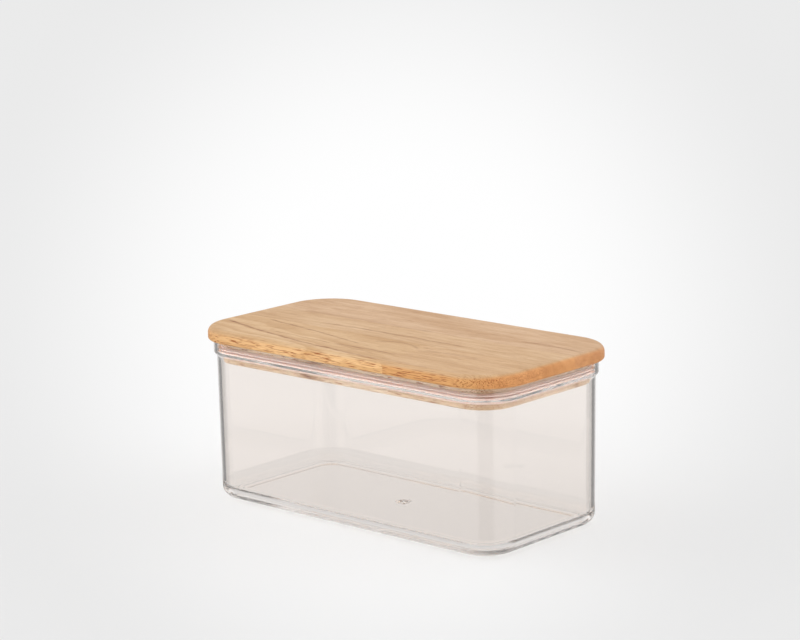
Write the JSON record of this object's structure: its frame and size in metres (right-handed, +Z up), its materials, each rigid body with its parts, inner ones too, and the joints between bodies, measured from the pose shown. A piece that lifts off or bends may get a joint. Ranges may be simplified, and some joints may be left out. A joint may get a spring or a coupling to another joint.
{
  "type": "storage canister",
  "caption": "Clear moulded food storage canister with a stepped rim and a flush laminated wood lid whose plug carries a soft seal.",
  "frame": {"origin": "on the ground under the middle of the canister, at the foot ring's underside", "axes": "+X along the canister's length, +Y along its width, +Z up, the way the lid lifts"},
  "size_m": [0.1986, 0.1018, 0.09],
  "materials": {
    "clear_plastic": "clear polished moulding with a faint warm tint",
    "seal_silicone": "translucent milky silicone",
    "wood_front_left": "oiled light hardwood, fine grain along X",
    "wood_front_right": "oiled light hardwood, fine grain along X",
    "wood_middle": "oiled light hardwood, fine grain along X",
    "wood_back": "oiled light hardwood, fine grain along X"
  },
  "bodies": {
    "container": {"container": "clear_plastic"},
    "lid": {"lid_stave_front_left": "wood_front_left", "lid_stave_front_right": "wood_front_right", "lid_stave_middle": "wood_middle", "lid_stave_back": "wood_back", "seal_ring": "seal_silicone"}
  },
  "joints": [
    {"name": "lid_lift", "type": "slide", "parent": "container", "child": "lid", "axis": [0, 0, 1], "range_m": [0, 0.06]}
  ]
}
